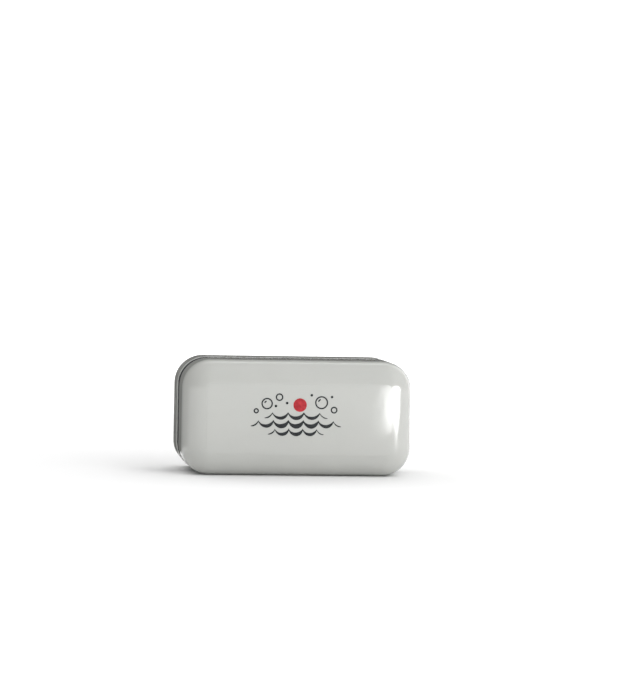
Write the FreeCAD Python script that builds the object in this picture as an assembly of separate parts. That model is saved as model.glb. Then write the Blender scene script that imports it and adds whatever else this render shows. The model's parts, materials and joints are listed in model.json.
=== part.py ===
import FreeCAD, Part
import math
import os
from collections import namedtuple
from FreeCAD import Vector

# Magnetic glass cleaner, in millimetres. Two halves face each other across the glass: the handle half
# lies on the -Y side and the floating half on the +Y side. X runs along the length and Z is up. The
# origin is at the middle of the bottom, so the cleaner stands on its long sides at Z = 0.
# Each half is built on the +Y side, where Y is its depth from the middle of the glass gap, and the
# handle half is then mirrored across that gap.

LENGTH = 60.0
HEIGHT = 30.0
HALF_DEPTH = 19.0  # middle of the gap to the outer face
RIM_DEPTH = 3.0  # middle of the gap to the casing's rim
MID_Z = HEIGHT / 2

CORNER_R = 7.4  # the outline's corners
EDGE_R = 6.6  # rounding round the outer face
CREASE_ANGLE = math.radians(8)  # the outer face meets its rounding at this angle
PANEL_INSET = 6.0  # the outline to the raised panel on the outer face
PANEL_RISE = 0.1
RIM_EDGE_R = 0.4

PLATE_CLEARANCE = 0.1  # round the base plate, inside the rim
PLATE_CHAMFER = 0.3
SEAM_THICKNESS = 0.2  # cement between the casing's ledge and the base plate
SEAM_INSET = 0.2  # cement kept back from the ledge's inner edge

PAD_INSET = 0.2  # the outline to the pad, which covers the seam round the base plate
PAD_GAP = 0.15  # middle of the gap to the pad's face
TAPE_INSET = 0.8
TAPE_THICKNESS = 0.2

FRAME_THICKNESS = 1.2  # ribs round the magnets
FRAME_CORNER_R = 1.0
POCKET_CLEARANCE = 0.15  # round each magnet
MAGNET_GLUE = 0.15
MAGNET_CHAMFER = 0.4
KEEPER_CORNER_R = 1.5

RIB_X = 15.0  # stiffening ribs inside the casing's long walls
RIB_THICKNESS = 1.2
RIB_ROOT = 0.5  # how far a rib reaches into its wall

TOLERANCE = 1e-4
SIDES = (-1, 1)

Magnet = namedtuple("Magnet", "length height thickness")
Keeper = namedtuple("Keeper", "length height thickness")
Foam = namedtuple("Foam", "length height corner_r edge_r")
Half = namedtuple("Half", "wall plate_thickness frame_height rib_height magnet keeper foam")

HANDLE = Half(
    wall=2.0,
    plate_thickness=2.0,
    frame_height=4.0,
    rib_height=1.6,
    magnet=Magnet(22.0, 18.0, 7.0),
    keeper=Keeper(46.0, 19.0, 1.0),
    foam=Foam(46.0, 16.6, 3.0, 0.0),
)
FLOAT = Half(
    wall=1.4,
    plate_thickness=1.5,
    frame_height=3.0,
    rib_height=1.2,
    magnet=Magnet(20.0, 16.0, 4.0),
    keeper=Keeper(42.0, 17.0, 0.5),
    foam=Foam(54.0, 24.0, 5.8, 5.2),
)


def box(length, height, near, far, x=0.0, z=MID_Z):
    """A square-edged box from depth near to depth far, centred at x and z."""
    return Part.makeBox(length, far - near, height, Vector(x - length / 2, near, z - height / 2))


def edges_at(shape, depth):
    """The edges that lie wholly at one depth."""
    return [
        e
        for e in shape.Edges
        if abs(e.BoundBox.YMin - depth) < TOLERANCE and abs(e.BoundBox.YMax - depth) < TOLERANCE
    ]


def block(length, height, corner_r, near, far, edge_r=0.0):
    """A box whose outline has rounded corners, and whose far face has rounded edges if edge_r is set."""
    blank = box(length, height, near, far)
    along_depth = [e for e in blank.Edges if abs(e.tangentAt(e.FirstParameter).y) > 0.5]
    rounded = blank.makeFillet(corner_r, along_depth)
    return rounded.makeFillet(edge_r, edges_at(rounded, far)) if edge_r else rounded


def inset_block(inset, near, far, edge_r=0.0):
    """A block whose outline lies inside the casing's by the inset."""
    return block(LENGTH - 2 * inset, HEIGHT - 2 * inset, CORNER_R - inset, near, far, edge_r)


def lip(half):
    """The thickness of the rim that stands round the base plate. The rest of the wall is the ledge."""
    return half.wall / 2


def plate_depth(half):
    """Depth of the base plate's inner face."""
    return RIM_DEPTH + half.plate_thickness


def ledge_depth(half):
    return plate_depth(half) + SEAM_THICKNESS


def casing(half):
    """The moulded shell: rounded outside, open at the rim, with a ledge for the base plate."""
    face_depth = HALF_DEPTH - PANEL_RISE
    tangent_depth = face_depth + EDGE_R * (1 - math.cos(CREASE_ANGLE))
    outside = inset_block(0.0, RIM_DEPTH, tangent_depth, EDGE_R)
    outside = outside.cut(box(LENGTH, HEIGHT, face_depth, tangent_depth + 1))
    outside = outside.makeFillet(RIM_EDGE_R, edges_at(outside, RIM_DEPTH))
    outside = outside.fuse(inset_block(PANEL_INSET, face_depth, HALF_DEPTH))

    inner_depth = HALF_DEPTH - half.wall
    cavity = inset_block(half.wall, RIM_DEPTH, inner_depth, EDGE_R - half.wall)
    rebate = inset_block(lip(half), RIM_DEPTH, ledge_depth(half))
    shell = outside.cut(cavity).cut(rebate)

    rib_z = HEIGHT / 2 - half.wall + (RIB_ROOT - half.rib_height) / 2
    for x in (-RIB_X, RIB_X):
        for side in SIDES:
            rib = box(
                RIB_THICKNESS,
                half.rib_height + RIB_ROOT,
                ledge_depth(half) + SEAM_INSET,
                HALF_DEPTH - EDGE_R,
                x,
                MID_Z + side * rib_z,
            )
            shell = shell.fuse(rib)
    return shell.removeSplitter()


def pocket_size(half):
    """Length and height of the pocket for one magnet."""
    gap = 2 * POCKET_CLEARANCE
    return half.magnet.length + gap, half.magnet.height + gap


def pocket_x(half):
    """Distance of each magnet pocket from the middle."""
    return (pocket_size(half)[0] + FRAME_THICKNESS) / 2


def base_plate(half):
    """The closing plate, flush with the rim, with a frame round the magnets inside."""
    plate = inset_block(lip(half) + PLATE_CLEARANCE, RIM_DEPTH, plate_depth(half))
    plate = plate.makeChamfer(PLATE_CHAMFER, edges_at(plate, RIM_DEPTH))
    length, height = pocket_size(half)
    near = plate_depth(half)
    far = near + half.frame_height
    frame = block(
        2 * length + 3 * FRAME_THICKNESS,
        height + 2 * FRAME_THICKNESS,
        FRAME_CORNER_R,
        near,
        far,
    )
    for side in SIDES:
        frame = frame.cut(box(length, height, near, far, side * pocket_x(half)))
    return plate.fuse(frame).removeSplitter()


def glue_seam(half):
    """The ring of cement on the ledge."""
    near = plate_depth(half)
    far = ledge_depth(half)
    ring = inset_block(lip(half) + PLATE_CLEARANCE, near, far)
    return ring.cut(inset_block(half.wall - SEAM_INSET, near, far))


def magnet_glue(half):
    """Two films of epoxy, one in each pocket."""
    near = plate_depth(half)
    far = near + MAGNET_GLUE
    films = [box(*pocket_size(half), near, far, side * pocket_x(half)) for side in SIDES]
    return Part.makeCompound(films)


def magnet(half, side):
    """A ferrite block with chamfered edges, on the left (-1) or the right (1)."""
    near = plate_depth(half) + MAGNET_GLUE
    far = near + half.magnet.thickness
    blank = box(half.magnet.length, half.magnet.height, near, far, side * pocket_x(half))
    return blank.makeChamfer(MAGNET_CHAMFER, blank.Edges)


def keeper_depth(half):
    """Depth of the keeper plate's near face, against the backs of the magnets."""
    return plate_depth(half) + MAGNET_GLUE + half.magnet.thickness


def keeper_plate(half):
    """The steel plate that joins the backs of the two magnets."""
    near = keeper_depth(half)
    far = near + half.keeper.thickness
    return block(half.keeper.length, half.keeper.height, KEEPER_CORNER_R, near, far)


def foam(half):
    """The foam that fills the depth between the keeper plate and the casing's outer wall."""
    near = keeper_depth(half) + half.keeper.thickness
    far = HALF_DEPTH - half.wall
    size = half.foam
    return block(size.length, size.height, size.corner_r, near, far, size.edge_r)


def tape():
    """The double-sided tape between base plate and pad."""
    return inset_block(TAPE_INSET, RIM_DEPTH - TAPE_THICKNESS, RIM_DEPTH)


def pad():
    """The pad that meets the glass."""
    return inset_block(PAD_INSET, PAD_GAP, RIM_DEPTH - TAPE_THICKNESS)


def pieces(half, foam_name, pad_name):
    """Every piece of one half, by name."""
    return {
        "shell": casing(half),
        "base_plate": base_plate(half),
        "glue_seam": glue_seam(half),
        "magnet_glue": magnet_glue(half),
        "magnet_left": magnet(half, -1),
        "magnet_right": magnet(half, 1),
        "keeper_plate": keeper_plate(half),
        foam_name: foam(half),
        "pad_adhesive": tape(),
        pad_name: pad(),
    }


def mirrored(shape):
    """The shape on the handle's side of the glass."""
    return shape.mirror(Vector(0, 0, 0), Vector(0, 1, 0))


def main():
    os.makedirs("parts", exist_ok=True)
    handle = pieces(HANDLE, "foam_spacer", "felt_pad")
    floating = pieces(FLOAT, "foam_block", "scrub_pad")
    nodes = {f"handle_{name}": mirrored(shape) for name, shape in handle.items()}
    nodes.update({f"float_{name}": shape for name, shape in floating.items()})
    for node, shape in nodes.items():
        shape.exportStep(f"parts/{node}.step")
        print(f"{node}: {shape.Volume:.1f} mm3, valid {shape.isValid()}")


main()
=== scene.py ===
import json
import math
import random

import bmesh
import bpy
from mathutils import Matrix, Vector, noise


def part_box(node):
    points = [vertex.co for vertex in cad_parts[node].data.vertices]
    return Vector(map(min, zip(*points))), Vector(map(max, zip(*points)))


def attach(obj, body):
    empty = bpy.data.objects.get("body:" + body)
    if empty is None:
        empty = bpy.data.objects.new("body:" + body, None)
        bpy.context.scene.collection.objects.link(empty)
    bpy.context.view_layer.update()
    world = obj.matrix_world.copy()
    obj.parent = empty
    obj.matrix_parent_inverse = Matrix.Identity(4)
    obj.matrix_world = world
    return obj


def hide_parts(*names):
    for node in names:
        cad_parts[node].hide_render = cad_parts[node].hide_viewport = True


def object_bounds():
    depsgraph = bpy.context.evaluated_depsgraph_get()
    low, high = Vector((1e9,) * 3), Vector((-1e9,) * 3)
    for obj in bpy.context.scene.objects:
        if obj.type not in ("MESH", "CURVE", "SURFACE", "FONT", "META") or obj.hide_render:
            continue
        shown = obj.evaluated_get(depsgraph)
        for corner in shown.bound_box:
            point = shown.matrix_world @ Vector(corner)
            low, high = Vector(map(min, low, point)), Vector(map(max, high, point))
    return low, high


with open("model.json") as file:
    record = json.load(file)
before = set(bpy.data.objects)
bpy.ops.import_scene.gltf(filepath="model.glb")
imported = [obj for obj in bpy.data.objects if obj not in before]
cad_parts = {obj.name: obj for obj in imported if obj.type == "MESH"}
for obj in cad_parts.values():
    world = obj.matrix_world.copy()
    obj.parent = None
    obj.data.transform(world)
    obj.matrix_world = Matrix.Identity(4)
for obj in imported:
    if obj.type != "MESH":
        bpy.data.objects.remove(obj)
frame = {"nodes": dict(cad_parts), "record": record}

cad_low, cad_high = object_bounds()
middle = (cad_low + cad_high) / 2
nodes = frame["nodes"]
collection = bpy.context.scene.collection

MM = 0.001
TURN = 2 * math.pi


# ---------------------------------------------------------------- camera, lights and floor

CAMERA_DISTANCE = 0.90
CAMERA_AZIMUTH = 7.0  # degrees round to the left of the handle's face
CAMERA_ELEVATION = 2.4
CAMERA_ROLL = 1.1
AIM = Vector((6.0, 0.0, 17.9)) * MM  # from the object's middle to what the camera points at
SENSOR = 36.0
VIEW_HEIGHT = 184 * MM  # what the picture's height spans at the object

# In metres, from the object:
FLOOR_SIDE = 3.0
FLOOR_FRONT = -3.0
BACKDROP_Y = 2.0
BACKDROP_TOP = 3.0
CURVE_R = 0.8  # between the floor and the backdrop
CURVE_STEPS = 16


def direction(azimuth, elevation):
    """The unit vector from the object towards something seen at this azimuth and elevation, in degrees."""
    a, e = math.radians(azimuth), math.radians(elevation)
    return Vector((math.sin(a) * math.cos(e), -math.cos(a) * math.cos(e), math.sin(e)))


def point_at(obj, target):
    """Turns a camera or a light to face the target."""
    obj.rotation_euler = (target - obj.location).to_track_quat("-Z", "Y").to_euler()


def make_camera():
    """Looks at the handle's face from a little above and to its left."""
    data = bpy.data.cameras.new("camera")
    data.sensor_width = SENSOR
    data.lens = SENSOR * CAMERA_DISTANCE / VIEW_HEIGHT
    camera = bpy.data.objects.new("camera", data)
    collection.objects.link(camera)
    target = middle + AIM
    camera.location = target + direction(-CAMERA_AZIMUTH, CAMERA_ELEVATION) * CAMERA_DISTANCE
    point_at(camera, target)
    camera.rotation_euler.rotate_axis("Z", math.radians(CAMERA_ROLL))
    bpy.context.scene.camera = camera


def soft_light(name, azimuth, elevation, distance, size, power, target=middle):
    """A softbox of this width and height that faces its target, which is the object unless it is given."""
    data = bpy.data.lights.new(name, "AREA")
    data.shape = "RECTANGLE"
    data.size, data.size_y = size
    data.energy = power
    light = bpy.data.objects.new(name, data)
    collection.objects.link(light)
    light.location = target + direction(azimuth, elevation) * distance
    point_at(light, target)
    light.visible_camera = False
    return light


def make_lights():
    """Three lights that the gloss doesn't mirror, and two small ones that only the gloss mirrors.

    The small ones make the bright streak down the right side. The second widens it onto the flat face.
    """
    behind = middle + Vector((0, 0.8, 0))
    for light in (
        soft_light("key", 30, 32, distance=0.5, size=(0.4, 0.3), power=0.90),
        soft_light("fill", 4, 6, distance=0.7, size=(0.8, 0.11), power=0.42),
        soft_light("overhead", 0, 80, distance=1.6, size=(2.4, 2.4), power=13.0, target=behind),
    ):
        light.visible_glossy = False

    beside = Vector((cad_high.x + 25.5 * MM, cad_low.y + 3 * MM, 22.5 * MM))
    crease = Vector((cad_high.x - 5.5 * MM, cad_low.y, 14 * MM))
    streak = soft_light("streak", 22, 0, distance=0.050, size=(0.057, 0.033), power=0.067, target=beside)
    streak.data.shape = "ELLIPSE"
    on_face = soft_light(
        "streak_edge", 10, 0, distance=0.060, size=(0.008, 0.013), power=0.0047, target=crease
    )
    for light in (streak, on_face):
        light.visible_diffuse = False


def black_card(name, left, right, height):
    """A black card on the floor, between two (x, y) points. Only the object's gloss sees it."""
    bm = bmesh.new()
    corners = [(*left, 0.0), (*right, 0.0), (*right, height), (*left, height)]
    bm.faces.new([bm.verts.new(corner) for corner in corners])
    s = Shader(name)
    s.look(Base_Color=(0.01, 0.01, 0.01, 1.0), Roughness=1.0, Specular_IOR_Level=0.0)
    card = mesh_object(name, bm, s.material)
    card.visible_camera = False
    card.visible_diffuse = False
    card.visible_shadow = False


def make_cards():
    """Cards that darken the rims of the left side and the top, which mirror what is behind the object."""
    black_card("left_card", (-0.16, 0.0), (-0.02, 0.045), 0.09)
    black_card("back_card", (-0.75, 0.45), (0.30, 0.45), 0.5)


def make_world():
    """Soft light from all round, less of it from the left. The camera sees it as an even white wall."""
    world = bpy.data.worlds.new("studio")
    bpy.context.scene.world = world
    world.use_nodes = True
    tree = world.node_tree
    coords = tree.nodes.new("ShaderNodeTexCoord")
    split = tree.nodes.new("ShaderNodeSeparateXYZ")
    ramp = tree.nodes.new("ShaderNodeMapRange")
    for socket, level in (("From Min", -1.0), ("From Max", 0.6), ("To Min", 0.12), ("To Max", 0.62)):
        ramp.inputs[socket].default_value = level
    tree.links.new(coords.outputs["Generated"], split.inputs["Vector"])
    tree.links.new(split.outputs["X"], ramp.inputs["Value"])
    seen = tree.nodes.new("ShaderNodeMix")
    seen.inputs["B"].default_value = 1.0
    tree.links.new(tree.nodes.new("ShaderNodeLightPath").outputs["Is Camera Ray"], seen.inputs["Factor"])
    tree.links.new(ramp.outputs["Result"], seen.inputs["A"])
    tree.links.new(seen.outputs["Result"], tree.nodes["Background"].inputs["Strength"])
    tree.nodes["Background"].inputs["Color"].default_value = (1.0, 1.0, 1.0, 1.0)


def make_floor():
    """A plain floor that curves up into a backdrop behind the object."""
    profile = [(FLOOR_FRONT, 0.0)]
    for i in range(CURVE_STEPS + 1):
        a = math.pi / 2 * i / CURVE_STEPS
        profile.append((BACKDROP_Y - CURVE_R + CURVE_R * math.sin(a), CURVE_R - CURVE_R * math.cos(a)))
    profile.append((BACKDROP_Y, BACKDROP_TOP))
    bm = bmesh.new()
    rows = [[bm.verts.new((x, y, z)) for x in (-FLOOR_SIDE, FLOOR_SIDE)] for y, z in profile]
    for low, high in zip(rows, rows[1:]):
        bm.faces.new((low[0], low[1], high[1], high[0])).smooth = True
    mesh_object("floor", bm, floor_material())


# ---------------------------------------------------------------- materials


class Shader:
    """A material and its node tree, with short ways to add and join nodes."""

    def __init__(self, name):
        self.material = bpy.data.materials.new(name)
        self.material.use_nodes = True
        self.tree = self.material.node_tree
        self.surface = self.tree.nodes["Principled BSDF"]
        self.place = self.tree.nodes.new("ShaderNodeTexCoord").outputs["Object"]

    def node(self, kind, settings=None, **inputs):
        """Adds a node. Inputs are values or another node's outputs, with _ for a space in their names."""
        made = self.tree.nodes.new(kind)
        for key, value in (settings or {}).items():
            setattr(made, key, value)
        for key, value in inputs.items():
            self.set(made, key.replace("_", " "), value)
        return made

    def set(self, node, socket, value):
        """Joins another node's output to the socket, or sets it to a value."""
        if isinstance(value, bpy.types.NodeSocket):
            self.tree.links.new(value, node.inputs[socket])
        else:
            node.inputs[socket].default_value = value

    def look(self, **inputs):
        """Sets the inputs of the material's surface."""
        for key, value in inputs.items():
            self.set(self.surface, key.replace("_", " "), value)

    def stretched(self, x, y, z):
        """Object coordinates scaled along each axis, so that a texture draws out along the smallest."""
        made = self.node("ShaderNodeVectorMath", {"operation": "MULTIPLY"}, Vector=self.place)
        made.inputs[1].default_value = (x, y, z)
        return made.outputs["Vector"]

    def noise(self, scale, detail=3.0, roughness=0.55, vector=None):
        """Clouds, from 0 to 1 and mostly near 0.5. A larger scale makes them smaller."""
        made = self.node(
            "ShaderNodeTexNoise",
            Vector=vector or self.place,
            Scale=scale,
            Detail=detail,
            Roughness=roughness,
        )
        return made.outputs["Fac"]

    def cells(self, scale, feature="F1"):
        """The distance from the middle of the nearest of many random cells, or from its edge."""
        made = self.node("ShaderNodeTexVoronoi", {"feature": feature}, Vector=self.place, Scale=scale)
        return made.outputs["Distance"]

    def greys(self, value, stops):
        """A ramp of greys; a stop is a position and a level."""
        made = self.node("ShaderNodeValToRGB", Fac=value)
        elements = made.color_ramp.elements
        while len(elements) < len(stops):
            elements.new(0.5)
        for element, (position, level) in zip(elements, stops):
            element.position = position
            element.color = (level, level, level, 1.0)
        return made.outputs["Color"]

    def spread(self, value, low, high, to_low, to_high):
        """Maps value from low-high to to_low-to_high, and holds it there outside."""
        made = self.node("ShaderNodeMapRange", Value=value)
        sockets = ("From Min", "From Max", "To Min", "To Max")
        for socket, level in zip(sockets, (low, high, to_low, to_high)):
            made.inputs[socket].default_value = level
        return made.outputs["Result"]

    def math(self, operation, first, second):
        """Joins two values or outputs by an operation."""
        made = self.node("ShaderNodeMath", {"operation": operation})
        for socket, value in zip((0, 1), (first, second)):
            self.set(made, socket, value)
        return made.outputs["Value"]

    def mix(self, factor, first, second):
        """Mixes two colours; factor and colours are values or outputs."""
        made = self.node("ShaderNodeMix", {"data_type": "RGBA"})
        sockets = {s.identifier: s for s in made.inputs}
        for name, value in (("Factor_Float", factor), ("A_Color", first), ("B_Color", second)):
            if isinstance(value, bpy.types.NodeSocket):
                self.tree.links.new(value, sockets[name])
            else:
                sockets[name].default_value = value if name == "Factor_Float" else (*value, 1.0)
        return next(s for s in made.outputs if s.identifier == "Result_Color")

    def bump(self, height, strength, distance, onto=None):
        """A normal for relief of this height, on top of another normal if one is given."""
        made = self.node("ShaderNodeBump", Height=height, Strength=strength, Distance=distance)
        if onto:
            self.tree.links.new(onto, made.inputs["Normal"])
        return made.outputs["Normal"]


def floor_material():
    """Matt pale paper that glows softly far from the object, so that it runs into the white wall."""
    s = Shader("floor")
    away = s.node("ShaderNodeVectorMath", {"operation": "LENGTH"}, Vector=s.place).outputs["Value"]
    s.look(
        Base_Color=s.spread(s.noise(6.0), 0.3, 0.7, 0.88, 0.90),
        Roughness=0.9,
        Specular_IOR_Level=0.0,
        Emission_Color=(1.0, 1.0, 1.0, 1.0),
        Emission_Strength=s.spread(away, 0.03, 1.0, 0.0, 1.0),
    )
    return s.material


def edge_wear(s):
    """Rises towards the casing's rounded edges and corners, where hands and the bench rub it."""
    half = (cad_high - cad_low) / 2
    offset = s.node("ShaderNodeVectorMath", {"operation": "SUBTRACT"}, Vector=s.place)
    offset.inputs[1].default_value = middle
    split = s.node("ShaderNodeSeparateXYZ", Vector=offset.outputs["Vector"])
    near = []
    for axis, reach in zip("XYZ", half):
        away = s.math("ABSOLUTE", split.outputs[axis], 0.0)
        near.append(s.spread(away, reach - 5 * MM, reach - 0.5 * MM, 0.0, 1.0))
    pairs = [s.math("MULTIPLY", near[i], near[(i + 1) % 3]) for i in range(3)]
    return s.math("MAXIMUM", s.math("MAXIMUM", pairs[0], pairs[1]), pairs[2])


def abs_material():
    """Light grey glossy ABS as moulded, with flow lines, orange peel, hairline scuffs and rubbed edges."""
    s = Shader("grey_abs")
    clouds = s.noise(55.0, detail=4.0)
    flow = s.noise(1.0, detail=5.0, vector=s.stretched(35.0, 420.0, 420.0))
    specks = s.cells(1500.0)
    base = s.mix(s.spread(clouds, 0.3, 0.7, 0.0, 1.0), (0.525, 0.534, 0.509), (0.540, 0.546, 0.520))
    base = s.mix(s.spread(flow, 0.35, 0.75, 0.0, 0.25), base, (0.552, 0.558, 0.536))
    base = s.mix(s.spread(specks, 0.05, 0.10, 0.35, 0.0), base, (0.33, 0.34, 0.34))
    edges = s.math("MULTIPLY", edge_wear(s), s.spread(clouds, 0.35, 0.65, 0.1, 1.0))
    base = s.mix(s.math("MULTIPLY", edges, 0.30), base, (0.64, 0.64, 0.62))

    fine = s.noise(1.0, detail=2.0, vector=s.stretched(90.0, 2600.0, 5200.0))
    cross = s.noise(1.0, detail=2.0, vector=s.stretched(4200.0, 2600.0, 120.0))
    along = s.spread(fine, 0.66, 0.72, 0.0, 1.0)
    scuffs = s.math("MAXIMUM", along, s.spread(cross, 0.68, 0.74, 0.0, 0.8))
    scuffs = s.math("MULTIPLY", scuffs, s.spread(s.noise(90.0), 0.45, 0.65, 0.0, 1.0))
    rough = s.spread(s.noise(140.0, detail=6.0), 0.3, 0.7, 0.09, 0.14)
    rough = s.math("ADD", rough, s.math("MULTIPLY", scuffs, 0.16))
    rough = s.math("ADD", rough, s.math("MULTIPLY", edges, 0.12))

    peel = s.noise(1100.0, detail=2.0)
    normal = s.bump(peel, 0.10, 0.00008)
    normal = s.bump(s.noise(160.0, detail=1.0), 0.22, 0.0003, onto=normal)
    normal = s.bump(scuffs, 0.10, -0.00003, onto=normal)
    s.look(
        Base_Color=base,
        Roughness=rough,
        Normal=normal,
        IOR=1.53,
        Subsurface_Weight=0.12,
        Subsurface_Radius=(1.0, 0.95, 0.85),
        Subsurface_Scale=0.0008,
    )
    return s.material


def ink_material(name, color):
    """Pad-printed ink: slightly uneven, satin, with pinholes where it thins out."""
    s = Shader(name)
    patches = s.noise(900.0, detail=4.0)
    thin = s.spread(s.cells(2600.0), 0.0, 0.16, 1.0, 0.0)
    thin = s.math("MULTIPLY", thin, s.spread(patches, 0.5, 0.62, 0.0, 0.5))
    light = tuple(min(1.0, c * 1.5 + 0.012) for c in color)
    tone = s.mix(s.spread(patches, 0.35, 0.7, 0.0, 1.0), color, light)
    s.look(
        Base_Color=s.mix(thin, tone, (0.42, 0.42, 0.41)),
        Roughness=s.spread(patches, 0.3, 0.7, 0.30, 0.45),
        Specular_IOR_Level=0.3,
        Normal=s.bump(patches, 0.2, 0.00002),
    )
    return s.material


def felt_material():
    """Charcoal needle felt; each fibre has its own shade, and a few are pale."""
    s = Shader("felt")
    own = s.node("ShaderNodeNewGeometry").outputs["Random Per Island"]
    shade = s.greys(own, [(0.0, 0.014), (0.5, 0.030), (0.8, 0.07), (0.93, 0.16), (1.0, 0.34)])
    web = s.noise(1.0, detail=5.0, roughness=0.8, vector=s.stretched(2600.0, 5200.0, 1900.0))
    strands = s.noise(1.0, detail=3.0, roughness=0.6, vector=s.stretched(900.0, 2400.0, 900.0))
    open_web = s.spread(web, 0.35, 0.65, 0.5, 1.0)
    matted = s.math("MULTIPLY", open_web, s.spread(strands, 0.35, 0.7, 0.35, 1.0))
    base = s.mix(matted, (0.012, 0.012, 0.014), shade)
    flecks = s.noise(1.0, detail=2.0, vector=s.stretched(1500.0, 6000.0, 4200.0))
    base = s.mix(s.spread(flecks, 0.66, 0.74, 0.0, 0.6), base, (0.12, 0.12, 0.125))
    s.look(
        Base_Color=base,
        Roughness=s.spread(web, 0.3, 0.7, 0.86, 1.0),
        Normal=s.bump(s.math("ADD", web, strands), 0.9, 0.00025),
        Sheen_Weight=0.12,
        Sheen_Roughness=0.5,
        Specular_IOR_Level=0.2,
    )
    return s.material


def nylon_material():
    """Dark nylon filament, a little shiny, with dull and bright lengths."""
    s = Shader("hook_nylon")
    own = s.node("ShaderNodeNewGeometry").outputs["Random Per Island"]
    base = s.mix(own, (0.012, 0.013, 0.015), (0.045, 0.047, 0.052))
    along = s.noise(2200.0, detail=2.0)
    s.look(
        Base_Color=base,
        Roughness=s.spread(along, 0.3, 0.7, 0.32, 0.52),
        Normal=s.bump(along, 0.2, 0.00004),
    )
    return s.material


def weave_material():
    """The woven ground that carries the hooks: a tight plain weave in black yarn, with painted shade
    between the threads.
    """
    s = Shader("woven_ground")
    threads = []
    for axis, scale in (("X", 480.0), ("Z", 560.0)):
        bands = {"bands_direction": axis}
        wave = s.node("ShaderNodeTexWave", bands, Vector=s.place, Scale=scale, Distortion=1.5)
        threads.append(wave.outputs["Fac"])
    yarn = s.math("MULTIPLY", s.math("ADD", *threads), 0.5)
    lint = s.noise(900.0, detail=5.0)
    # Painted shade: darkest between the threads and lightest on their crowns, patchy with the lint
    yarn_gap_shade = s.math("MULTIPLY", yarn, s.spread(lint, 0.3, 0.7, 0.5, 1.0))
    s.look(
        Base_Color=s.mix(yarn_gap_shade, (0.008, 0.008, 0.010), (0.050, 0.051, 0.055)),
        Roughness=s.spread(lint, 0.3, 0.7, 0.7, 0.95),
        Normal=s.bump(yarn, 0.7, 0.0002),
        Sheen_Weight=0.2,
    )
    return s.material


def foam_material():
    """White closed-cell foam, cut through its cells, with painted shade inside the opened cells."""
    s = Shader("foam")
    walls = s.cells(1400.0, feature="DISTANCE_TO_EDGE")
    small = s.cells(3400.0, feature="DISTANCE_TO_EDGE")
    pits = s.math("MINIMUM", s.spread(walls, 0.0, 0.16, 0.0, 1.0), s.spread(small, 0.0, 0.2, 0.3, 1.0))
    tint = s.mix(s.spread(s.noise(120.0), 0.3, 0.7, 0.0, 1.0), (0.66, 0.66, 0.63), (0.76, 0.75, 0.70))
    s.look(
        # Painted shade: the colour darkens inside each cut cell, away from its walls
        Base_Color=s.mix(s.math("MULTIPLY", pits, 0.35), tint, (0.46, 0.46, 0.43)),
        Roughness=s.spread(small, 0.0, 0.3, 0.6, 0.9),
        Normal=s.bump(pits, 0.8, -0.0002),
        Subsurface_Weight=0.1,
        Subsurface_Scale=0.001,
    )
    return s.material


def ferrite_material():
    """Sintered ferrite: near-black and grainy, with grinding lines across the poles and pale chips."""
    s = Shader("ferrite")
    grain = s.noise(2400.0, detail=6.0, roughness=0.75)
    lines = s.noise(1.0, detail=3.0, vector=s.stretched(3800.0, 3800.0, 60.0))
    chips = s.spread(s.cells(700.0), 0.0, 0.10, 1.0, 0.0)
    base = s.mix(s.spread(grain, 0.3, 0.7, 0.0, 1.0), (0.020, 0.020, 0.022), (0.060, 0.058, 0.058))
    chips = s.math("MULTIPLY", chips, s.spread(grain, 0.45, 0.6, 0.0, 0.8))
    base = s.mix(chips, base, (0.13, 0.125, 0.12))
    s.look(
        Base_Color=base,
        Metallic=0.15,
        Roughness=s.spread(lines, 0.3, 0.7, 0.42, 0.68),
        Normal=s.bump(s.math("ADD", s.math("MULTIPLY", lines, 0.5), grain), 0.35, 0.00008),
    )
    return s.material


def steel_material():
    """Zinc-plated sheet steel, brushed along its length, with dull patches in the plating."""
    s = Shader("zinc_steel")
    brush = s.noise(1.0, detail=4.0, vector=s.stretched(70.0, 3500.0, 5200.0))
    patches = s.noise(220.0, detail=4.0)
    rough = s.spread(brush, 0.3, 0.7, 0.26, 0.42)
    s.look(
        Base_Color=s.mix(s.spread(patches, 0.35, 0.65, 0.0, 1.0), (0.55, 0.56, 0.58), (0.66, 0.67, 0.70)),
        Metallic=1.0,
        Roughness=s.math("ADD", rough, s.spread(patches, 0.3, 0.7, 0.0, 0.1)),
        Normal=s.bump(brush, 0.2, 0.00004),
    )
    return s.material


def glue_material(name, thin, thick, rough_low, rough_high):
    """Cured adhesive: paler where it is thin, with trapped bubbles."""
    s = Shader(name)
    pool = s.noise(260.0, detail=3.0)
    bubbles = s.spread(s.cells(1300.0), 0.0, 0.18, 1.0, 0.0)
    base = s.mix(s.spread(pool, 0.3, 0.7, 0.0, 1.0), thin, thick)
    pale = tuple(min(1.0, c * 1.3) for c in thin)
    s.look(
        Base_Color=s.mix(s.math("MULTIPLY", bubbles, 0.35), base, pale),
        Roughness=s.spread(pool, 0.3, 0.7, rough_low, rough_high),
        Normal=s.bump(s.math("ADD", pool, bubbles), 0.4, 0.0001),
        Subsurface_Weight=0.15,
        Subsurface_Scale=0.0006,
    )
    return s.material


# ---------------------------------------------------------------- mesh helpers


def mesh_object(name, bm, material):
    """Makes an object of the mesh, with its material."""
    mesh = bpy.data.meshes.new(name)
    bm.to_mesh(mesh)
    bm.free()
    mesh.materials.append(material)
    obj = bpy.data.objects.new(name, mesh)
    collection.objects.link(obj)
    return obj


def piece(name, bm, material, body, smooth=True):
    """Makes a piece of the cleaner, which rides on a body."""
    bmesh.ops.recalc_face_normals(bm, faces=bm.faces)
    for face in bm.faces:
        face.smooth = smooth
    obj = mesh_object(name, bm, material)
    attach(obj, body)
    return obj


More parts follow.
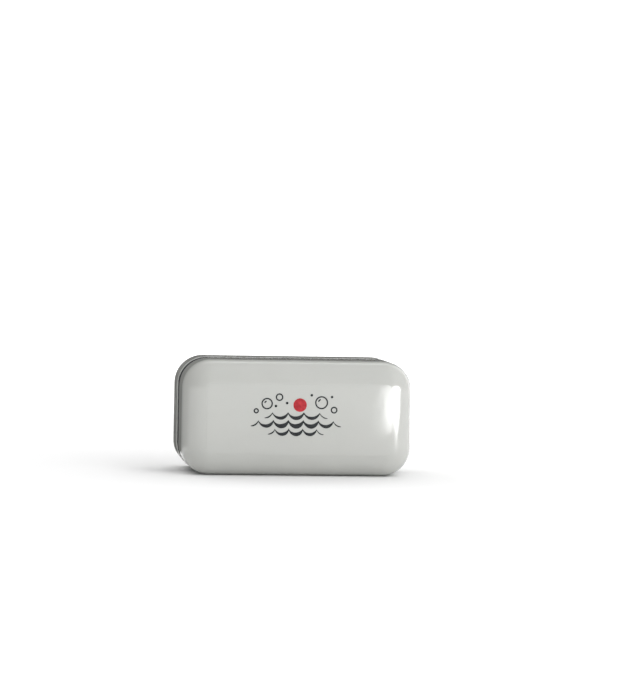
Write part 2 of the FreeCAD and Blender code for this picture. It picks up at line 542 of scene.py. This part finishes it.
def outline_point(length, height, corner_r, share):
    """A point of a rounded rectangle about the middle, and its outward normal.

    It lies a share of the way round from the middle of the lower side, which is first walked towards +X.
    """
    straight_x, straight_z = length - 2 * corner_r, height - 2 * corner_r
    arc = corner_r * math.pi / 2
    walk = straight_x / 2 + share * (2 * (straight_x + straight_z) + 4 * arc)
    lower = (straight_x, -90, 1, -1)
    others = ((straight_z, 0, 1, 1), (straight_x, 90, -1, 1), (straight_z, 180, -1, -1))
    for straight, facing, corner_x, corner_z in (lower, *others, lower):
        normal = Vector((math.cos(math.radians(facing)), 0, math.sin(math.radians(facing))))
        along = Vector((-normal.z, 0, normal.x))
        centre = Vector((corner_x * straight_x / 2, 0, corner_z * straight_z / 2))
        if walk <= straight:
            return centre + normal * corner_r + along * (walk - straight), normal
        walk -= straight
        if walk <= arc:
            turned = math.radians(facing) + walk / corner_r
            normal = Vector((math.cos(turned), 0, math.sin(turned)))
            return centre + normal * corner_r, normal
        walk -= arc
    raise ValueError("share is past 1")


def lofted(rings):
    """A closed mesh through rings of points, facing outwards.

    Points i and -i of a ring lie opposite each other, and the end rings are sewn shut between them.
    """
    bm = bmesh.new()
    made = [[bm.verts.new(p) for p in ring] for ring in rings]
    count = len(rings[0])
    for low, high in zip(made, made[1:]):
        for i in range(count):
            j = (i + 1) % count
            bm.faces.new((low[i], high[i], high[j], low[j]))
    for i in range(count // 2):
        for ring, turn in ((made[0], 1), (made[-1], -1)):
            corners = [ring[i], ring[i + 1], ring[-i - 1], ring[-i]]
            bm.faces.new(list(dict.fromkeys(corners))[::turn])
    return bm


BEND_STEPS = 5  # round a slab's edge
INNERMOST = 0.97  # how far from the outline to the middle line a slab's end rings go


def slab(low, high, corner_r, near_r, far_r, count, step, near_step, far_step):
    """A closed slab that fills a box, with rounded corners. near_r and far_r round its -Y and +Y edges.

    Rings of count points run round it: out from the middle line of the -Y face, near_step apart, along
    the side, a step apart, and back to the middle line across the +Y face, far_step apart.
    """
    size, centre = high - low, (low + high) / 2
    reach = (size.x - size.z) / 2  # of the middle line, either way
    outline = [outline_point(size.x, size.z, corner_r, (0.25 + i / count) % 1) for i in range(count)]

    def ring(inset, share, y):
        points = []
        for p, normal in outline:
            spine = Vector((max(-reach, min(reach, p.x)), 0, 0))
            edge = p - normal * inset
            points.append(edge.lerp(spine, share) + Vector((centre.x, y, centre.z)))
        return points

    def shares(face_step):
        across = max(2, round(size.z / 2 / face_step))
        return [INNERMOST * i / across for i in range(1, across + 1)]

    rings = [ring(near_r, share, low.y) for share in reversed(shares(near_step))]
    bends = [math.pi / 2 * i / BEND_STEPS for i in range(BEND_STEPS + 1)]
    rings += [ring(near_r * (1 - math.sin(a)), 0, low.y + near_r * (1 - math.cos(a))) for a in bends]
    straight = size.y - near_r - far_r
    walls = max(2, round(straight / step))
    rings += [ring(0, 0, low.y + near_r + straight * i / walls) for i in range(1, walls)]
    rings += [
        ring(far_r * (1 - math.sin(a)), 0, high.y - far_r * (1 - math.cos(a))) for a in reversed(bends)
    ]
    return lofted(rings + [ring(far_r, share, high.y) for share in shares(far_step)])


def roughened(bm, depth, size, seed):
    """Moves the surface in and out by up to half the depth, in lumps of about the size."""
    bm.normal_update()
    shift = Vector((seed, 2 * seed, 3 * seed))
    moves = []
    for v in bm.verts:
        level = noise.noise(v.co / size + shift)
        moves.append(v.normal * depth / 2 * min(1.0, max(-1.0, level * 1.4)))
    for v, move in zip(bm.verts, moves):
        v.co += move


def pitted(bm, depth, size):
    """Opens cells of about the size in the surface, and leaves thin walls between them."""
    bm.normal_update()
    moves = []
    for v in bm.verts:
        near, second = noise.voronoi(v.co / size)[0][:2]
        moves.append(v.normal * -depth * min(1.0, (second - near) / 0.35))
    for v, move in zip(bm.verts, moves):
        v.co += move


def filament(bm, path, radii, sides):
    """A thin closed rod along a path. A radius of 0 at its end makes a point."""
    turns = [TURN * k / sides for k in range(sides)]
    rings = []
    for i, (p, radius) in enumerate(zip(path, radii)):
        ahead = (path[min(i + 1, len(path) - 1)] - path[max(i - 1, 0)]).normalized()
        across = ahead.orthogonal() if i == 0 else across - ahead * across.dot(ahead)
        across.normalize()
        up = ahead.cross(across)
        if radius == 0:
            rings.append([bm.verts.new(p)])
            continue
        spokes = [across * math.cos(t) + up * math.sin(t) for t in turns]
        rings.append([bm.verts.new(p + spoke * radius) for spoke in spokes])
    for low, high in zip(rings, rings[1:]):
        for k in range(sides):
            j = (k + 1) % sides
            if len(high) == 1:
                bm.faces.new((low[k], low[j], high[0]))
            else:
                bm.faces.new((low[k], low[j], high[j], high[k]))
    bm.faces.new(reversed(rings[0]))
    if len(rings[-1]) > 1:
        bm.faces.new(rings[-1])


# ---------------------------------------------------------------- the print on the handle's face

MARK_PLACE = Vector((-0.8, 0, 1.1)) * MM  # from the middle of the face
MARK_WIDTH = 23.5 * MM
LINE = 0.36 * MM  # thickness of a bubble's outline
CREST = 1.25 * MM
RING_POINTS = 60
INK_DEPTH = 0.01 * MM  # sunk in the face, so that nothing shows between them
INK_RISE = 0.025 * MM

# In mm, about the place of the print. Each ripple has a share of the mark's width, crests, z and thickness.
RIPPLES = ((0.70, 4, -0.2, 1.0), (1.0, 6, -2.3, 1.25), (0.62, 4, -4.4, 1.0))
# Each has an x, z and radius.
BUBBLES = ((-7.6, 2.9, 1.5), (-4.4, 4.6, 1.0), (-10.4, 1.0, 0.7), (6.6, 3.3, 1.7), (9.9, 1.4, 0.9))
RED_FLOAT = (1.0, 2.6, 1.75)
DOTS = ((-5.3, 2.3), (-2.4, 3.1), (9.3, 4.8), (4.0, 5.2))  # x and z
DOT_R = 0.34


def ink_strip(bm, first, second, closed=False):
    """A flat closed shape between two rows of (x, z) points, printed on the outer face."""
    place = middle + MARK_PLACE
    rows = []
    for row in (first, second):
        for y in (cad_low.y - INK_RISE, cad_low.y + INK_DEPTH):
            rows.append([bm.verts.new((place.x + x, y, place.z + z)) for x, z in row])
    front_a, back_a, front_b, back_b = rows
    count = len(first)
    for i in range(count if closed else count - 1):
        j = (i + 1) % count
        bm.faces.new((front_a[i], front_a[j], front_b[j], front_b[i]))
        bm.faces.new((back_a[i], back_b[i], back_b[j], back_a[j]))
        bm.faces.new((front_a[i], back_a[i], back_a[j], front_a[j]))
        bm.faces.new((front_b[i], front_b[j], back_b[j], back_b[i]))
    if not closed:
        for i in (0, count - 1):
            bm.faces.new((front_a[i], front_b[i], back_b[i], back_a[i]))


def wave_stroke(bm, width, height, crests, rise, thickness):
    """A brush stroke of water: peaked crests, thick on one side of each and thin at the ends."""
    steps = 30 * crests
    top, bottom = [], []
    for i in range(steps + 1):
        u = i / steps
        roll = TURN * crests * u
        x = width * (u - 0.5) + 0.42 * height * math.sin(roll)
        z = rise - height / 2 * math.cos(roll)
        swell = 0.12 + 0.88 * math.sin(math.pi * u) ** 0.5
        half = thickness / 2 * swell * (0.78 + 0.22 * math.sin(roll + 0.9))
        wobble = 0.04 * MM * noise.noise(Vector((x, z, rise)) / (0.7 * MM))
        top.append((x, z + half + wobble))
        bottom.append((x, z - half + wobble))
    ink_strip(bm, top, bottom)


def arc_points(x, z, radius, start, end, count):
    """Points along an arc about (x, z), from one angle to another in degrees."""
    turns = [math.radians(start + (end - start) * i / (count - 1)) for i in range(count)]
    return [(x + radius * math.cos(a), z + radius * math.sin(a)) for a in turns]


def bubble_ring(bm, x, z, radius, line):
    """A bubble in outline, with a curved glint if there is room for one."""
    end = 360 - 360 / RING_POINTS
    rim = arc_points(x, z, radius, 0, end, RING_POINTS)
    ink_strip(bm, rim, arc_points(x, z, radius - line, 0, end, RING_POINTS), closed=True)
    inner, outer = radius - 2.9 * line, radius - 1.9 * line
    if inner > line:
        ink_strip(bm, arc_points(x, z, outer, 105, 165, 9), arc_points(x, z, inner, 105, 165, 9))


def disc(bm, x, z, radius):
    """A filled circle, as a strip between its upper and lower half."""
    upper = arc_points(x, z, radius, 3, 177, 25)
    ink_strip(bm, upper, [(px, 2 * z - pz) for px, pz in upper])


def make_mark():
    """A plain pictogram of rippled water, rising bubbles and a red float."""
    dark, red = bmesh.new(), bmesh.new()
    for share, crests, rise, thickness in RIPPLES:
        wave_stroke(dark, share * MARK_WIDTH, CREST, crests, rise * MM, thickness * MM)
    for x, z, radius in BUBBLES:
        bubble_ring(dark, x * MM, z * MM, radius * MM, LINE)
    for x, z in DOTS:
        disc(dark, x * MM, z * MM, DOT_R * MM)
    disc(red, *(level * MM for level in RED_FLOAT))
    dark_ink = ink_material("dark_ink", (0.010, 0.012, 0.014))
    red_ink = ink_material("red_ink", (0.36, 0.012, 0.020))
    piece("handle_mark", dark, dark_ink, "handle_half", smooth=False)
    piece("handle_mark_float", red, red_ink, "handle_half", smooth=False)


# ---------------------------------------------------------------- pads and foam

PAD_CORNER_R = 7.2 * MM
HIDDEN_STEP = 4 * MM  # between the rings on a pad's taped face
FELT_LUMPS = ((0.16, 2.4, 3), (0.16, 0.9, 5), (0.10, 0.5, 9))  # depth and size in mm, and seed
FIBRES = 7000
FIBRE_MARGIN = 0.5 * MM  # kept clear of fibres, inside the face's outline
GROUND_THICKNESS = 1.0 * MM
HOOK_PITCH = 1.0 * MM
HOOK_R = 0.3 * MM  # of the bend
HOOK_MARGIN = 0.75 * MM  # kept clear of stems, inside the outline
HOOK_JITTER = 0.06 * MM  # off the straight rows, either way
NYLON_R = 0.09 * MM
FOAM_STEP = 0.45 * MM


def outline_distance(x, z, low, high, corner_r):
    """How far a point lies inside the outline of a rounded box."""
    size = high - low
    dx = abs(x - (low.x + high.x) / 2) - (size.x / 2 - corner_r)
    dz = abs(z - (low.z + high.z) / 2) - (size.z / 2 - corner_r)
    if dx > 0 and dz > 0:
        return corner_r - math.hypot(dx, dz)
    return corner_r - max(dx, dz)


def fibre(bm, root, out, proud, rng):
    """One fibre that leaves the felt at root, lies over sideways and rises at most proud of the surface."""
    aside = Vector((rng.uniform(-1, 1), rng.uniform(-1, 1), rng.uniform(-1, 1)))
    aside = (aside - out * aside.dot(out)).normalized()
    turn = out.cross(aside) * rng.uniform(-0.6, 0.6)
    length = rng.uniform(0.5, 1.3) * MM
    radius = rng.uniform(0.018, 0.032) * MM
    path = [root - out * 0.12 * MM]
    for share, rise in ((0.4, 0.75), (0.75, 1.0), (1.0, rng.uniform(0.3, 0.95))):
        path.append(root + (aside * share + turn * share * share) * length + out * (proud * rise))
    for p in path:
        p.z = max(p.z, radius)  # the floor presses it flat
    filament(bm, path, (radius, radius, radius * 0.8, 0), 3)


def make_felt_pad():
    """The needled felt pad on the handle half, with its cut edge and loose fibres."""
    low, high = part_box("handle_felt_pad")
    bm = slab(
        low,
        high,
        PAD_CORNER_R,
        near_r=0.2 * MM,
        far_r=0.35 * MM,
        count=640,
        step=0.25 * MM,
        near_step=HIDDEN_STEP,
        far_step=0.4 * MM,
    )
    for depth, lump, seed in FELT_LUMPS:
        roughened(bm, depth * MM, lump * MM, seed)
    rng = random.Random(11)
    size, centre = high - low, (low + high) / 2
    for _ in range(FIBRES):
        if rng.random() < 0.5:
            x, z = rng.uniform(low.x, high.x), rng.uniform(low.z, high.z)
            if outline_distance(x, z, low, high, PAD_CORNER_R) > FIBRE_MARGIN:
                root = Vector((x, high.y, z))
                fibre(bm, root, Vector((0, 1, 0)), rng.uniform(0.04, 0.12) * MM, rng)
        else:
            p, normal = outline_point(size.x, size.z, PAD_CORNER_R, rng.random())
            root = p + Vector((centre.x, rng.uniform(low.y + 0.4 * MM, high.y - 0.5 * MM), centre.z))
            fibre(bm, root - normal * 0.1 * MM, normal, rng.uniform(0.12, 0.42) * MM, rng)
    pad = piece("felt_pad", bm, felt_material(), "handle_half")
    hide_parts("handle_felt_pad")


def hook(bm, root, side, rng):
    """One nylon hook: a stem that stands off the weave towards the glass and bends over to one side."""
    up = Vector((rng.uniform(-0.10, 0.10), -1, rng.uniform(-0.10, 0.10))).normalized()
    lean = (side - up * side.dot(up)).normalized()
    stem = rng.uniform(1.14, 1.27) * MM
    path = [root - up * 0.15 * MM, root + up * stem * 0.55, root + up * stem]
    middle_of_bend = root + up * stem + lean * HOOK_R
    for degrees in (145, 105, 65, 25, -15, rng.uniform(-55, -30)):
        a = math.radians(degrees)
        path.append(middle_of_bend + (lean * math.cos(a) + up * math.sin(a)) * HOOK_R)
    filament(bm, path, [NYLON_R] * (len(path) - 1) + [NYLON_R * 0.7], 5)


def make_scrub_pad():
    """The scrubbing pad on the floating half: rows of nylon hooks on a woven ground."""
    low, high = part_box("float_scrub_pad")
    face = high.y - GROUND_THICKNESS
    base = Vector((low.x, face, low.z))
    weave = slab(
        base,
        high,
        PAD_CORNER_R,
        near_r=0.15 * MM,
        far_r=0.1 * MM,
        count=300,
        step=0.8 * MM,
        near_step=0.8 * MM,
        far_step=HIDDEN_STEP,
    )
    roughened(weave, depth=0.05 * MM, size=1.1 * MM, seed=7)
    ground = piece("scrub_pad_ground", weave, weave_material(), "float_half")
    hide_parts("float_scrub_pad")
    bm = bmesh.new()
    rng = random.Random(23)
    rows = round((high.z - low.z) / HOOK_PITCH)
    columns = round((high.x - low.x) / HOOK_PITCH)
    for row in range(rows):
        z = low.z + (row + 0.5) * HOOK_PITCH
        for column in range(columns):
            x = low.x + (column + (0.25 if row % 2 else 0.75)) * HOOK_PITCH
            x += rng.uniform(-HOOK_JITTER, HOOK_JITTER)
            if outline_distance(x, z, low, high, PAD_CORNER_R) < HOOK_MARGIN:
                continue
            side = Vector((1 if row // 2 % 2 else -1, 0, rng.uniform(-0.35, 0.35)))
            hook(bm, Vector((x, face, z + rng.uniform(-HOOK_JITTER, HOOK_JITTER))), side, rng)
    hooks = piece("scrub_pad_hooks", bm, nylon_material(), "float_half")
    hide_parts("float_scrub_pad")


def make_foams():
    """The foam parts inside the casings, with their skin cut through the cells."""
    foam = foam_material()
    for node, body, corner_r, far_r in (
        ("handle_foam_spacer", "handle_half", 3.0 * MM, 0.25 * MM),
        ("float_foam_block", "float_half", 5.8 * MM, 5.2 * MM),
    ):
        low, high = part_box(node)
        bm = slab(
            low,
            high,
            corner_r,
            near_r=0.25 * MM,
            far_r=far_r,
            count=380,
            step=FOAM_STEP,
            near_step=FOAM_STEP,
            far_step=FOAM_STEP,
        )
        pitted(bm, depth=0.10 * MM, size=1.3 * MM)
        made = piece(node + "_cells", bm, foam, body)
        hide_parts(node)


def dress_nodes():
    """Gives every CAD node that stays the material of its slot."""
    materials = {
        "grey_abs": abs_material(),
        "zinc_steel": steel_material(),
        "ferrite": ferrite_material(),
    }
    for name, *look in (
        ("solvent_cement", (0.62, 0.62, 0.58), (0.52, 0.51, 0.46), 0.12, 0.3),
        ("epoxy", (0.45, 0.36, 0.20), (0.30, 0.22, 0.10), 0.1, 0.25),
        ("tape", (0.70, 0.69, 0.63), (0.60, 0.58, 0.50), 0.45, 0.65),
    ):
        materials[name] = glue_material(name, *look)
    for part in frame["record"]["subparts"]:
        if part["material_slot"] in materials:
            mesh = nodes[part["node"]].data
            mesh.materials.clear()
            mesh.materials.append(materials[part["material_slot"]])


make_camera()
make_lights()
make_cards()
make_world()
make_floor()
bpy.context.scene.view_settings.view_transform = "Standard"

dress_nodes()
make_mark()
make_felt_pad()
make_scrub_pad()
make_foams()
